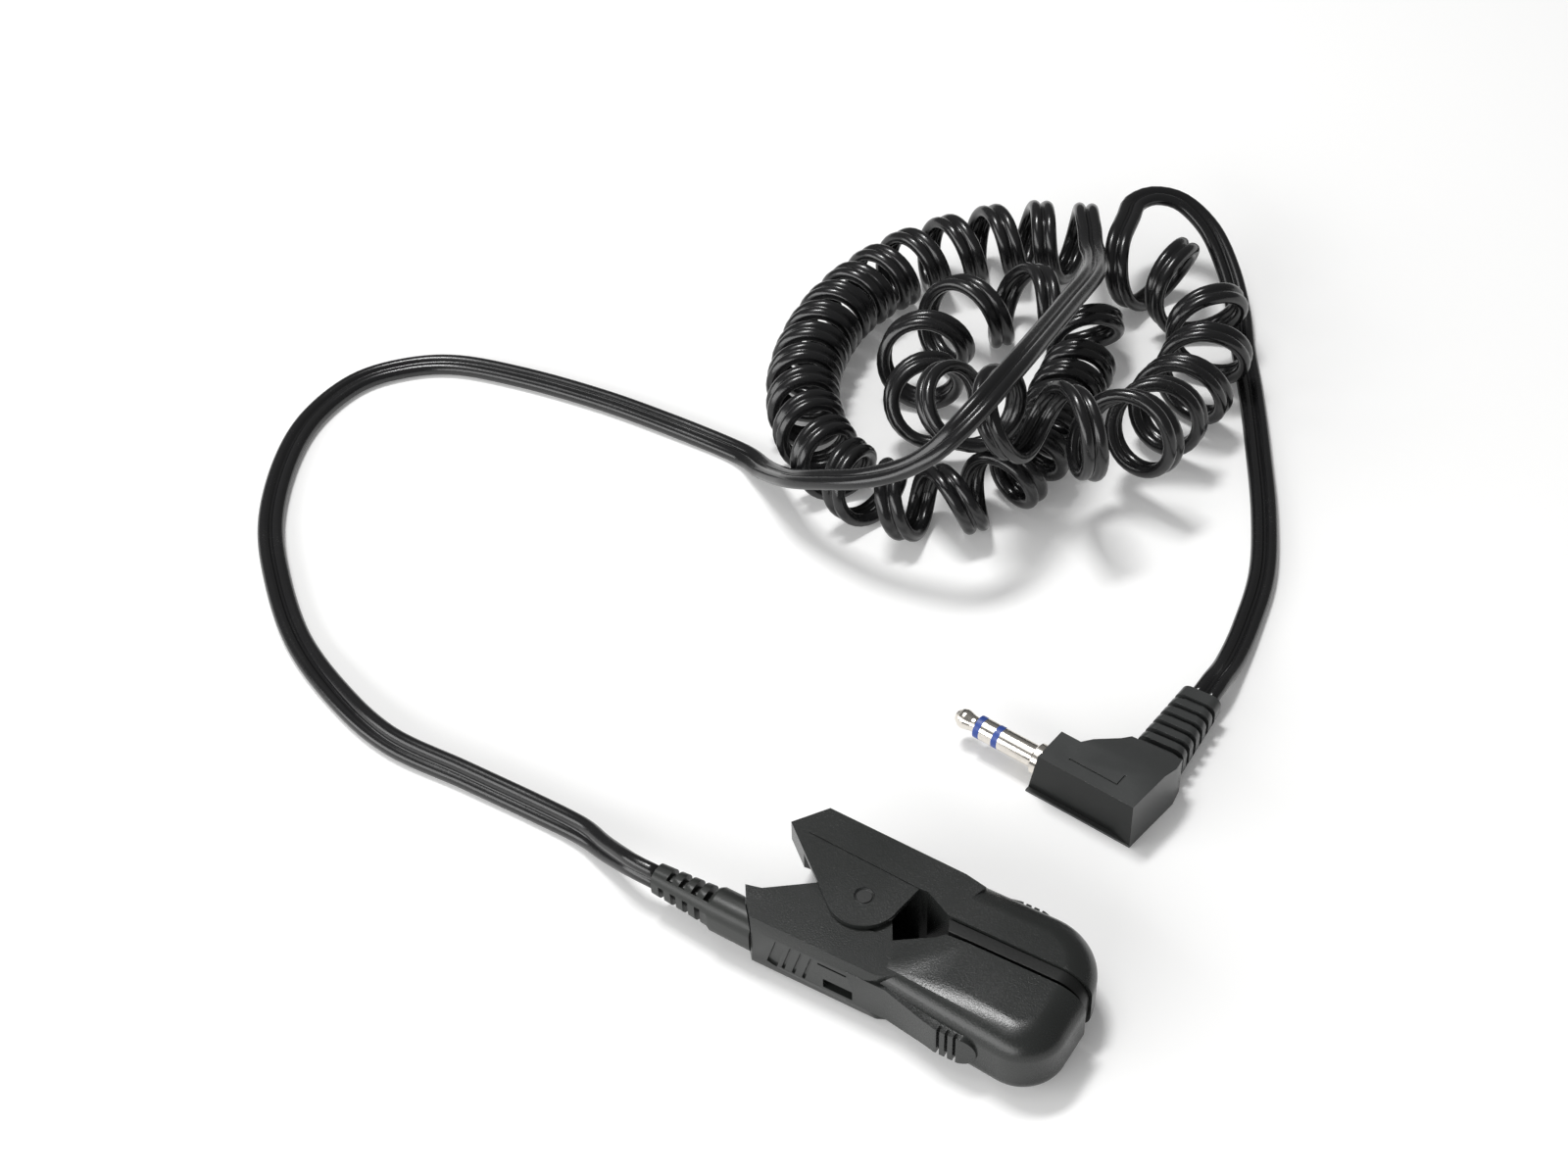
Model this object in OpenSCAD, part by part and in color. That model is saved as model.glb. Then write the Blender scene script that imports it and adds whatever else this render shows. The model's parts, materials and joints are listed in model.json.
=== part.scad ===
/* [Clip] */
// Length from the handle tips to the jaw end
clip_l = 48.4; // [44:0.2:54]
// Height over both thumb pads
clip_h = 24.4; // [23.2:0.2:26]
// Thickness over the pivot ears
clip_t = 11; // [10:0.1:13]
// Distance from the handle tips to the pivot axis
handle_l = 15.2; // [14:0.1:17]
// Gap between the closed jaw plates
jaw_gap = 0.7; // [0.3:0.1:1]
// Wall between a pocket and the outside
wall = 1.7; // [1.2:0.1:2]

/* [Hinge] */
// Radius of the hinge pin
pin_r = 1.45; // [1.2:0.05:1.6]
// Radial running clearance of the pin in the lower arm
pin_fit = 0.05; // [0.02:0.01:0.1]
// Radius of the pivot ears
ear_r = 5.1; // [4.8:0.1:5.6]
// Thickness of each pivot ear
ear_t = 0.7; // [0.5:0.1:0.8]
// Side clearance under each ear
ear_gap = 0.1; // [0.05:0.05:0.2]
// Radius of the lower arm's pivot boss
boss_r = 3.7; // [3.2:0.1:4]
// Wire diameter of the torsion spring
spring_wire = 0.6; // [0.4:0.1:0.7]
// Coils of the torsion spring
spring_turns = 5; // [3:1:5]

/* [Sensor] */
// Thickness of the lower jaw plate
plate_t = 1.2; // [1:0.1:1.5]
// Height of the upper jaw plate above its shell's rim
strip_h = 1.9; // [1.8:0.1:2.6]
// Radius of the round windows in the jaw plates
lens_r = 2; // [1.5:0.1:2.4]
// Distance of the windows from the jaw end
lens_back = 10; // [9:0.5:12]
// Thickness of the circuit boards
board_t = 0.8; // [0.6:0.1:1]

/* [Cord] */
// Width of the flat twin cord
cord_w = 4.3; // [4:0.1:4.4]
// Thickness of the flat twin cord
cord_t = 2.2; // [2:0.1:2.3]
// Length of the clip's strain relief
boot_l = 15.5; // [13:0.5:18]
// Width of the strain relief's collar
boot_w = 5.4; // [5.2:0.1:5.6]
// Height of the strain relief's collar
boot_h = 6.6; // [6.2:0.1:7]

/* [Plug] */
// Diameter of the plug's contacts
jack_d = 3.5; // [3.5:0.1:3.5]
// Length of the plug from its shoulder to its tip
jack_l = 14; // [14:0.1:14]
// Length of the plug's body along the contacts
plug_l = 16; // [15:0.5:18]
// Width of the plug's body across the contacts
plug_w = 6; // [5.8:0.1:7]
// Height of the plug's body
plug_h = 8.6; // [8:0.1:9.4]
// Length of the plug's ribbed strain relief
relief_l = 15; // [13:0.5:17]
// Ribs on the plug's strain relief
relief_ribs = 6; // [4:1:7]

/* [Hidden] */
$fn = 64;
eps = 0.01;
fit = 0.05;

// The clip lies on its side: X runs to the jaw end, Y across the jaws, Z is the hinge axis.
end_x = clip_l / 2;
tip_x = -clip_l / 2;
pivot = [tip_x + handle_l, 0.2];
mid_z = clip_t / 2;
flat_z = ear_t + ear_gap;
rim_y = 0.2;
strip_y = rim_y + jaw_gap;
upper_rim_y = strip_y + strip_h;

// Handles: the V between them runs down to the pivot, on the lower arm from a lip at its tip.
tip_y = 5.6;
lip = [2.3, 0.6];
peak_x = 3.7;
pad_rise = 0.5;
jaw_y = clip_h / 2 - pad_rise;
grip_y = jaw_y - 1.25;
bevel = [0.45, 1.9];
corner_r = 7.6;

// Jaws: a rounded nose with a wide elliptical shoulder.
shoulder = [4.6, 3.4];
lower_nose_r = 6.3;
upper_nose_r = 9.3;
upper_end_x = end_x - 0.4;
jaw_slope = 5.3;
window_a = [pivot.x + 6.7, rim_y - 4.1];
window_b = [pivot.x + 12.4, rim_y];
window_c = [pivot.x + 11.3, upper_rim_y + 0.2];
window_d = [pivot.x + 7, upper_rim_y + 2.3];
window_e = [pivot.x + 5.8, upper_rim_y + 2.2];

// Room round the pin for the spring and the wires that cross the hinge.
hub_z = 2.4;
hub_r = 6;
opening_angle = 30;
hub_clear = 0.4;

// Sensor pocket in each jaw.
pocket_x = window_b.x + 1.2;
lower_floor = 8.2;
upper_floor = 9.3;
ledge = 0.6;
lens_x = end_x - lens_back;
board = [9, 6.4];
peg = [3.2, 2.4];

// Thumb pads
pad_x = [0.3, 6.6, 12, 15.4];
pad_half = [3.1, 2.45];
rib_pitch = 1.2;
rib_slot = 0.45;
rib_depth = 0.9;

// Grooves on the lower grip
groove_tilt = 16;
groove_x = [6.9, 9.2, 10.8, 12.4];
groove_w = [1.6, 0.45, 0.45, 0.45];
groove_depth = 0.35;

// Cord entry in the lower arm's slanted end
boot_axis = [tip_x + 2.4, -8.1, mid_z];
boot_tip = boot_axis + [-boot_l, 0.5, 0];
boot_collar = 5.4;
core_r = 0.6;

function arc(c, r, a0, a1, n) = [for (i = [0:n]) let(a = a0 + (a1 - a0) * i / n)
    [c.x + r * cos(a), c.y + r * sin(a)]];
function unit(v) = v / norm(v);
// Point where a line from p touches a circle round c; side is 1 or -1.
function touch(p, c, r, side) = let(d = norm(c - p), a = atan2(p.y - c.y, p.x - c.x)
    + side * acos(r / d)) [c.x + r * cos(a), c.y + r * sin(a)];
// Right-hand outline of a section with elliptical shoulders at both ends of its height.
function shoulder_side(r, t, s, inset = 0) = [
    for (i = [0:12]) [r - s.x + (s.x - inset) * sin(i * 7.5),
        inset + s.y - (s.y) * cos(i * 7.5)],
    for (i = [0:12]) [r - s.x + (s.x - inset) * cos(i * 7.5),
        t - inset - s.y + (s.y) * sin(i * 7.5)]];

module along_x(x0, x1) {
    translate([x0, 0, 0]) rotate([90, 0, 90]) linear_extrude(x1 - x0) children();
}
module along_y(y0, y1) {
    translate([0, y1, 0]) rotate([90, 0, 0]) linear_extrude(y1 - y0) children();
}
module between_z(z0, z1) {
    translate([0, 0, z0]) linear_extrude(z1 - z0) children();
}
module both_sides() {
    children();
    translate([0, 0, clip_t]) mirror([0, 0, 1]) children();
}
module rounded_rect(x0, x1, y0, y1, r) {
    translate([x0 + r, y0]) square([x1 - x0 - 2 * r, y1 - y0]);
    translate([x0, y0 + r]) square([x1 - x0, y1 - y0 - 2 * r]);
    for (x = [x0 + r, x1 - r], y = [y0 + r, y1 - r])
        translate([x, y]) circle(r);
}

// ---- Lower arm ----
lower_lip = [tip_x + lip.x, -tip_y + lip.y];
lower_v = touch(lower_lip, pivot, boss_r, -1);
lug_touch = touch(window_a, pivot, boss_r, 1);
lower_nose = [end_x - lower_nose_r, -jaw_y + lower_nose_r];
heel = [tip_x + 1.5, -tip_y - 2.2];
heel_low = [tip_x + 3.8, -grip_y];
corner = [pivot.x + 5, -grip_y + corner_r];

module lower_plan() {
    polygon(concat([[tip_x, -tip_y], lower_lip, lower_v, pivot, lug_touch, window_a, window_b],
        arc(corner, corner_r, 0, -90, 12), [heel_low, heel]));
    translate(pivot) circle(boss_r);
}

// Section of the lower grip: its outer edges are bevelled.
module grip_section(outer, inner) {
    polygon([[outer - sign(outer) * bevel.x, flat_z], [outer, flat_z + bevel.y],
        [outer, clip_t - flat_z - bevel.y], [outer - sign(outer) * bevel.x, clip_t - flat_z],
        [inner, clip_t - flat_z], [inner, flat_z]]);
}

module lower_nose_shape() {
    side = shoulder_side(lower_nose_r, clip_t, shoulder);
    translate(lower_nose) {
        rotate_extrude() polygon(concat([[0, 0]], side, [[0, clip_t]]));
        rotate([0, 0, -jaw_slope]) mirror([0, 1, 0])
            along_x(-18.5, 0) polygon(concat([[0, 0]], side, [[0, clip_t]]));
    }
    along_y(lower_nose.y, rim_y) translate([lower_nose.x, 0])
        polygon(concat([[0, 0]], side, [[0, clip_t]]));
    between_z(0, clip_t) polygon([window_b, [lower_nose.x + eps, rim_y], lower_nose,
        [corner.x + 2, lower_nose.y - 1.2], [corner.x + 2, -6]]);
}

// A thumb pad stands on the jaw at y = -jaw_y and narrows towards its three slots.
module thumb_pad() {
    difference() {
        intersection() {
            along_y(-clip_h / 2 - 1, -jaw_y + 3) {
                polygon([[pad_x[0] - 6, mid_z - pad_half[0]], [pad_x[0], mid_z - pad_half[0]],
                    [pad_x[1], mid_z - pad_half[1]], [pad_x[2], mid_z - pad_half[1]],
                    [pad_x[2], mid_z + pad_half[1]], [pad_x[1], mid_z + pad_half[1]],
                    [pad_x[0], mid_z + pad_half[0]], [pad_x[0] - 6, mid_z + pad_half[0]]]);
                translate([pad_x[2], mid_z]) circle(pad_half[1]);
            }
            between_z(0, clip_t) polygon([[pad_x[0] - 6, -grip_y], [pad_x[0], -grip_y],
                [pad_x[1] + 2, -clip_h / 2], [pad_x[2], -clip_h / 2],
                [pad_x[3], -clip_h / 2 + 0.8], [pad_x[3], -grip_y + 2], [pad_x[0] - 6, -grip_y + 2]]);
        }
        for (i = [0:2])
            translate([pad_x[1] + 2.3 + i * rib_pitch, -clip_h / 2 - 1, -1])
                cube([rib_slot, 1 + rib_depth, clip_t + 2]);
    }
}

module lower_shell() {
    color([0.13, 0.135, 0.13]) difference() {
        union() {
            intersection() {
                between_z(0, clip_t) lower_plan();
                along_x(tip_x - 1, end_x) grip_section(-grip_y, 8);
            }
            lower_nose_shape();
            thumb_pad();
        }
        // Side faces ramp from the grip's flats to the full thickness of the jaw.
        both_sides() along_y(-clip_h, pivot.y + 6)
            polygon([[tip_x - 1, -1], [7, -1], [7, 0], [-2, flat_z], [tip_x - 1, flat_z]]);
        // Pin bore and the hub room between the two lugs
        translate([pivot.x, pivot.y, -1]) cylinder(r = pin_r + pin_fit, h = clip_t + 2);
        translate([pivot.x, pivot.y, flat_z + hub_z])
            cylinder(r = hub_r, h = clip_t - 2 * (flat_z + hub_z));
        // Shallow recess round the lugs, under the ears
        for (z = [flat_z - 1, clip_t - flat_z - 0.2])
            between_z(z, z + 1.2) {
                translate(pivot) circle(ear_r - 0.3);
                polygon([pivot, [window_b.x, pivot.y], window_a, [pivot.x + 1.5, window_a.y],
                    [pivot.x, pivot.y - ear_r + 0.5]]);
            }
        lower_pocket();
        grip_channel();
        grip_marks();
    }
}

// Pocket for the sensor, open at the slit, with a ledge for the jaw plate.
module lower_pocket() {
    between_z(wall, clip_t - wall)
        polygon([[pocket_x, rim_y + 1], [end_x - wall, rim_y + 1], [end_x - wall, lower_nose.y],
            [lower_nose.x + 3, -lower_floor], [pocket_x + 1, -lower_floor], [pocket_x, -lower_floor + 1]]);
    along_y(rim_y - plate_t, rim_y + 1)
        lower_mouth(0);
}
module lower_mouth(gap) {
    rounded_rect(pocket_x - ledge + gap, end_x - wall + ledge - gap,
        wall - ledge + gap, clip_t - wall + ledge - gap, 1);
}

// Way for the cord's cores from the slanted end to the pocket.
channel_y = -7.2;
module grip_channel() {
    translate([boot_axis.x - 4, channel_y, mid_z]) rotate([0, 90, 0])
        cylinder(r = 1.6, h = lens_x + 2 - boot_axis.x);
    // Way from the channel into the hub room
    translate([pivot.x - 3, channel_y, mid_z - 1.2]) cube([6, 3.2, 2.4]);
}

// Grooves, thin slit and square hole on the outer face of the lower grip.
module grip_marks() {
    for (i = [0:3])
        translate([tip_x + groove_x[i], -grip_y - 1, mid_z]) rotate([0, groove_tilt, 0])
            translate([0, 0, -2.6]) cube([groove_w[i], 1 + groove_depth, 5.2]);
    translate([tip_x + 14.2, -grip_y - 1, mid_z + 1.9]) cube([4.4, 1 + groove_depth, 0.35]);
    translate([tip_x + 15, -grip_y - 1, mid_z - 2.4]) cube([4.5, 1 + 1.2, 1.7]);
}

module lower_cover() {
    color([0.11, 0.11, 0.11]) difference() {
        along_y(rim_y - plate_t, rim_y) lower_mouth(fit);
        translate([lens_x, rim_y + 1, mid_z]) rotate([90, 0, 0])
            cylinder(r = lens_r, h = plate_t + 2);
    }
}

// Round window with a flange behind the jaw plate.
module window(y0, y1, flange_y) {
    translate([lens_x, max(y0, y1), mid_z]) rotate([90, 0, 0])
        cylinder(r = lens_r - fit, h = abs(y1 - y0));
    translate([lens_x, flange_y, mid_z]) rotate([90, 0, 0]) cylinder(r = lens_r + 0.6, h = 0.6);
}
module lower_lens() {
    color([0.25, 0.05, 0.06]) window(rim_y - plate_t, rim_y - 0.1, rim_y - plate_t);
}

// Domed emitter or receiver on its board, pointing up the y axis.
dome_r = 1.5;
module dome() {
    rotate([-90, 0, 0]) {
        cylinder(r = dome_r + 0.25, h = 0.5);
        cylinder(r = dome_r, h = 0.9);
        translate([0, 0, 0.9]) intersection() {
            sphere(dome_r);
            cylinder(r = dome_r + 1, h = dome_r);
        }
    }
}
lower_board_y = rim_y - plate_t - 0.6 - 0.1 - 2.4;
module phototransistor() {
    color([0.1, 0.1, 0.12]) translate([lens_x, lower_board_y, mid_z]) dome();
}
module board_plate(y) {
    translate([lens_x - board.x / 2, y, mid_z - board.y / 2]) cube([board.x, board_t, board.y]);
}
// Each board stands on four pegs that rise from the pocket's floor.
module pegs(y_board, y_floor) {
    for (x = [-1, 1], z = [-1, 1])
        translate([lens_x + x * peg.x, y_board, mid_z + z * peg.y])
            rotate([y_floor > y_board ? -90 : 90, 0, 0])
                cylinder(r = 0.5, h = abs(y_floor - y_board));
}
module lower_board() {
    color([0.1, 0.3, 0.15]) {
        board_plate(lower_board_y - board_t);
        pegs(lower_board_y - board_t + 0.1, -lower_floor);
    }
}

// ---- Upper arm ----
upper_tip_y = tip_y + 0.6;
upper_tip = [tip_x, upper_tip_y + 0.2];
ear_v = touch(upper_tip, pivot, ear_r, 1);
upper_nose = [upper_end_x - upper_nose_r, jaw_y - upper_nose_r - 0.2];
upper_grip_y = grip_y + 1.25;
upper_slope = 2.4;
// The V edge stays clear of the lower arm when the handles are squeezed.
squeeze_dir = atan2(lower_v.y - lower_lip.y, lower_v.x - lower_lip.x) - opening_angle;
squeeze_r = boss_r + hub_clear;
squeeze_top = [pivot.x - squeeze_r * sin(squeeze_dir), pivot.y + squeeze_r * cos(squeeze_dir)];
v_dir = unit(ear_v - upper_tip);
squeeze_line = [cos(squeeze_dir), sin(squeeze_dir)];
v_cross = let(w = squeeze_top - upper_tip,
    det = v_dir.x * squeeze_line.y - v_dir.y * squeeze_line.x)
    upper_tip + v_dir * (w.x * squeeze_line.y - w.y * squeeze_line.x) / det;

module upper_plan() {
    difference() {
        polygon([upper_tip, [tip_x + peak_x, upper_grip_y], [corner.x, upper_grip_y - 0.4],
            [window_b.x + 1, upper_grip_y - 2], window_c, window_d, window_e,
            [pivot.x + 2, pivot.y + squeeze_r], squeeze_top, v_cross]);
        translate(pivot) circle(squeeze_r);
    }
}
module ear_plan() {
    polygon([upper_tip, ear_v, pivot, [pivot.x + ear_r * cos(15), pivot.y - ear_r * sin(15)],
        window_e, window_d, [pivot.x + 4, upper_grip_y - 3], [tip_x + 4, upper_grip_y - 3]]);
    translate(pivot) circle(ear_r);
}
module upper_nose_shape() {
    side = shoulder_side(upper_nose_r, clip_t, shoulder);
    intersection() {
        union() {
            translate(upper_nose) {
                rotate_extrude() polygon(concat([[0, 0]], side, [[0, clip_t]]));
                along_x(-18, 0) polygon(concat([[0, 0]], side, [[0, clip_t]]));
            }
        }
        between_z(-1, clip_t + 1) polygon([window_c, [end_x + 1, upper_rim_y],
            [end_x + 1, clip_h], [corner.x, clip_h], [corner.x, upper_rim_y + 4]]);
    }
}

line_start = [tip_x + 3.2, upper_tip_y - 0.2];
// The handle's inner edge is full height only near its upper side; below, it slopes back.
flange_t = 3.6;
undercut = [9, 3.2];
module tip_undercut() {
    translate(upper_tip) rotate([0, 0, atan2(v_dir.y, v_dir.x)]) along_x(-4, undercut.x)
        polygon([[-4, -1], [undercut.y, -1], [undercut.y, 0], [0.7, clip_t - flange_t],
            [-4, clip_t - flange_t]]);
}

module upper_shell() {
    color([0.13, 0.135, 0.13]) difference() {
        union() {
            intersection() {
                between_z(0, clip_t) upper_plan();
                translate([tip_x + peak_x, upper_grip_y, 0]) rotate([0, 0, -upper_slope])
                    along_x(-9, clip_l) polygon([[-bevel.x, 0], [0, bevel.y], [0, clip_t - bevel.y],
                        [-bevel.x, clip_t], [-clip_h, clip_t], [-clip_h, 0]]);
            }
            for (z = [0, clip_t - ear_t])
                between_z(z, z + ear_t) ear_plan();
            upper_nose_shape();
            mirror([0, 1, 0]) thumb_pad();
        }
        translate([pivot.x, pivot.y, -1]) cylinder(r = pin_r, h = clip_t + 2);
        translate([pivot.x, pivot.y, flat_z + hub_z])
            cylinder(r = hub_r, h = clip_t - 2 * (flat_z + hub_z));
        // Shallow line between the ear and the shell
        for (z = [-1, clip_t - 0.15])
            between_z(z, z + 1.15) polygon([line_start - [0, 0.1], window_e - [0, 0.15],
                window_e, line_start + [0, 0.1]]);
        tip_undercut();
        upper_pocket();
    }
}
upper_channel_y = upper_rim_y + 4.2;
module upper_pocket() {
    between_z(wall, clip_t - wall)
        polygon([[pocket_x, upper_rim_y - 1], [upper_end_x - wall - 0.3, upper_rim_y - 1],
            [upper_end_x - wall - 0.3, upper_rim_y + 2.4], [upper_nose.x + 3.5, upper_floor],
            [pocket_x, upper_floor]]);
    along_y(upper_rim_y - 1, upper_rim_y + plate_t)
        upper_mouth(0);
    // Way for the wires from the hub room to the pocket
    translate([pivot.x, upper_channel_y, mid_z]) rotate([0, 90, 0])
        cylinder(r = 1.1, h = pocket_x - pivot.x + 1);
    translate([pivot.x - 3, upper_channel_y - 3.2, mid_z - 1.1]) cube([6, 3.2, 2.2]);
}
module upper_mouth(gap) {
    rounded_rect(pocket_x - ledge + gap, upper_end_x - wall + ledge - gap - 0.3,
        wall - ledge + gap, clip_t - wall + ledge - gap, 1);
}
strip_inset = 0.4;
module upper_cover() {
    side = shoulder_side(upper_nose_r, clip_t, shoulder, strip_inset);
    color([0.11, 0.11, 0.11]) difference() {
        union() {
            intersection() {
                along_y(strip_y, upper_rim_y) translate([upper_nose.x, 0])
                    polygon(concat([[-20, strip_inset]], side, [[-20, clip_t - strip_inset]]));
                between_z(-1, clip_t + 1) polygon([[window_c.x + 0.2, upper_rim_y],
                    [window_b.x, strip_y], [end_x, strip_y], [end_x, upper_rim_y]]);
            }
            along_y(upper_rim_y - eps, upper_rim_y + plate_t) upper_mouth(fit);
        }
        translate([lens_x, upper_rim_y + plate_t + 1, mid_z]) rotate([90, 0, 0])
            cylinder(r = lens_r, h = plate_t + strip_h + 2);
    }
}
upper_seat_y = upper_rim_y + plate_t;
module upper_lens() {
    color([0.25, 0.05, 0.06]) window(upper_seat_y, strip_y + 0.1, upper_seat_y + 0.6);
}
upper_board_y = upper_seat_y + 0.6 + 0.1 + 2.4;
module infrared_led() {
    color([0.7, 0.75, 0.8]) translate([lens_x, upper_board_y, mid_z]) rotate([180, 0, 0]) dome();
}
module upper_board() {
    color([0.1, 0.3, 0.15]) {
        board_plate(upper_board_y);
        pegs(upper_board_y + board_t - 0.1, upper_floor);
    }
}

// ---- Hinge ----
module hinge_pin() {
    color([0.16, 0.16, 0.16]) translate([pivot.x, pivot.y, 0.1]) difference() {
        cylinder(r = pin_r, h = clip_t - 0.2);
        // Ring-shaped groove on each end
        for (z = [-1, clip_t - 0.2 - 0.15])
            translate([0, 0, z]) difference() {
                cylinder(r = pin_r - 0.15, h = 1.15);
                translate([0, 0, -1]) cylinder(r = pin_r - 0.35, h = 3);
            }
    }
}

// ---- Swept tubes ----
// Faces of a closed tube of n rings with k points each, as triangles.
function tube_faces(n, k) = concat(
    [for (i = [0:n - 2], j = [0:k - 1]) [i * k + j, i * k + (j + 1) % k, (i + 1) * k + j]],
    [for (i = [0:n - 2], j = [0:k - 1]) [i * k + (j + 1) % k, (i + 1) * k + (j + 1) % k, (i + 1) * k + j]],
    [for (j = [1:k - 2]) [0, j + 1, j]],
    [for (j = [1:k - 2]) [(n - 1) * k, (n - 1) * k + j, (n - 1) * k + j + 1]]);
// One oval ring: w along side, t along up.
function oval(p, side, up, w, t, k) = [for (j = [0:k - 1]) let(a = 360 * j / k)
    p + side * w / 2 * cos(a) + up * t / 2 * sin(a)];
module sweep_rings(rings, k) {
    polyhedron([for (r = rings) each r], tube_faces(len(rings), k), convexity = 10);
}
function at(p, i) = i < 0 ? 2 * p[0] - p[1] : i >= len(p) ? 2 * p[len(p) - 1] - p[len(p) - 2] : p[i];
// Smooth curve through the points of p: value and slope at segment i, fraction u.
function smooth(p, i, u) = let(a = at(p, i - 1), b = at(p, i), c = at(p, i + 1), d = at(p, i + 2))
    0.5 * (2 * b + (c - a) * u + (2 * a - 5 * b + 4 * c - d) * u * u + (3 * b - a - 3 * c + d) * u * u * u);
function smooth_slope(p, i, u) = let(a = at(p, i - 1), b = at(p, i), c = at(p, i + 1), d = at(p, i + 2))
    0.5 * ((c - a) + 2 * (2 * a - 5 * b + 4 * c - d) * u + 3 * (3 * b - a - 3 * c + d) * u * u);
function level_side(t) = unit(cross(t, [0, 0, 1]));
// Rings of a flat cord that keeps its width level, with m steps from point to point.
function flat_rings(p, m, w, t, k) = [for (i = [0:len(p) - 2], j = [0:(i == len(p) - 2 ? m : m - 1)])
    let(u = j / m, d = unit(smooth_slope(p, i, u)), s = level_side(d), up = cross(s, d))
        oval(smooth(p, i, u), s, up, w, t, k)];

// ---- Spring and wires ----
spring_r = pin_r + 0.45 + spring_wire / 2;
spring_pitch = spring_wire + 0.12;
spring_z = mid_z - spring_turns * spring_pitch / 2;
leg_l = 5.3;
spring_a0 = 285;
spring_a1 = 75;
module torsion_spring() {
    steps = 12;
    span = 360 * (spring_turns - 1) + (spring_a1 - spring_a0 + 360);
    n = round(span / 360 * steps);
    rise = spring_pitch * span / 360;
    coil = [for (i = [0:n]) let(a = spring_a0 + span * i / n)
        [pivot.x + spring_r * cos(a), pivot.y + spring_r * sin(a), spring_z + rise * i / n]];
    leg0 = coil[0] - leg_l * [-sin(spring_a0), cos(spring_a0), 0];
    leg1 = coil[n] + leg_l * [-sin(spring_a1), cos(spring_a1), 0];
    path = concat([leg0], coil, [leg1]);
    color([0.6, 0.6, 0.62]) sweep_rings([for (i = [0:len(path) - 1]) let(
        d = unit(path[min(i + 1, len(path) - 1)] - path[max(i - 1, 0)]), s = level_side(d))
            oval(path[i], s, cross(s, d), spring_wire, spring_wire, 6)], 6);
}

// Two thin insulated wires from board to board, round the pin inside the hub room.
wire_d = 0.7;
wire_path = [[lens_x - board.x / 2, lower_board_y - board_t / 2],
    [lens_x - board.x / 2 - 0.8, lower_board_y - board_t / 2], [lens_x - 7, lower_board_y - 1.4],
    [pocket_x - 1, -6.15], [pivot.x + 5, -6.15], [pivot.x + 0.5, -5.9], [pivot.x - 3, -4.2],
    [pivot.x - 4.5, -1.5], [pivot.x - 4.5, 1.9], [pivot.x - 3, 4.4], [pivot.x - 0.5, 6.3],
    [pivot.x + 3, upper_channel_y], [pivot.x + 9, upper_channel_y], [lens_x - 9.6, upper_channel_y],
    [lens_x - board.x / 2 - 0.8, upper_board_y + board_t / 2],
    [lens_x - board.x / 2, upper_board_y + board_t / 2]];
module link_wires() {
    color([0.5, 0.08, 0.08]) for (dz = [-0.45, 0.45])
        sweep_rings(flat_rings([for (p = wire_path) [p.x, p.y, mid_z + dz]], 3, wire_d, wire_d, 6), 6);
}

// ---- Strain relief on the clip ----
boot_dir = unit(boot_axis - boot_tip);
module boot_place() {
    translate(boot_tip) rotate([0, 0, atan2(boot_dir.y, boot_dir.x)]) children();
}
module boot_slab(x, w, h, length = 0.1) {
    translate([x, 0, 0]) rotate([90, 0, 90]) linear_extrude(length) oval_section(w, h);
}
// Upright section with round ends.
module oval_section(w, h) {
    r = w / 2 - 0.3;
    for (x = [-1, 1], y = [-1, 1])
        translate([x * (w / 2 - r), y * (h / 2 - r)]) circle(r, $fn = 32);
    square([w, h - 2 * r], center = true);
    square([w - 2 * r, h], center = true);
}
module clip_boot() {
    sleeve_l = boot_l - boot_collar;
    color([0.12, 0.12, 0.12]) difference() {
        union() {
            // Collar, cut along the arm's slanted end
            intersection() {
                boot_place() {
                    hull() {
                        boot_slab(sleeve_l - 0.9, boot_w - 0.9, boot_h - 0.9);
                        boot_slab(sleeve_l, boot_w, boot_h, boot_collar + 3);
                    }
                    hull() {
                        boot_slab(0, boot_w - 1.9, boot_h - 2);
                        boot_slab(sleeve_l - 0.5, boot_w - 0.6, boot_h - 0.8);
                    }
                }
                between_z(-1, clip_t + 1) polygon([[tip_x - 30, -20], [heel_low.x - 0.15, -20],
                    heel_low + [-0.15, 0], heel + [-0.15, 0], [tip_x - 0.15, -tip_y],
                    [tip_x - 0.15, 0], [tip_x - 30, 0]]);
            }
            // Tongue that plugs into the arm's channel
            intersection() {
                translate([boot_axis.x - 2.4, channel_y, mid_z]) rotate([0, 90, 0])
                    cylinder(r = 1.6 - fit, h = 6);
                between_z(-1, clip_t + 1) polygon([heel_low + [-0.2, 0], heel_low + [5, 0],
                    [heel_low.x + 5, 0], [tip_x - 0.2, 0], [tip_x - 0.2, -tip_y], heel + [-0.2, 0]]);
            }
        }
        // Two staggered rows of windows round a solid core
        boot_place() difference() {
            for (i = [0:3], row = [0, 1])
                translate([1.3 + i * 2.1 + row * 1.0, 0, 0]) rotate([90, 0, 90]) linear_extrude(0.95)
                    rotate(225 - 180 * row) translate([0.75, -6]) square([8, 12]);
            boot_slab(-1, 2.5, 3.4, boot_l);
        }
        for (m = [-1, 1])
            translate([boot_tip.x + 4, boot_tip.y, mid_z + m * 0.75]) rotate([0, 90, 0])
                cylinder(r = core_r + 0.02, h = 40);
    }
}

// Two cores from the boot through the channel to the lower board.
module clip_conductors() {
    stub_x = lens_x - 3.2;
    color([0.7, 0.45, 0.25]) for (m = [-1, 1]) {
        translate([boot_tip.x + 4.2, boot_tip.y, mid_z + m * 0.75]) rotate([0, 90, 0])
            cylinder(r = core_r, h = stub_x + 0.5 - boot_tip.x - 4.2);
        translate([stub_x, lower_board_y - board_t, mid_z + m * 0.75]) rotate([90, 0, 0])
            cylinder(r = 0.3, h = lower_board_y - board_t - boot_tip.y);
    }
}

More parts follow.
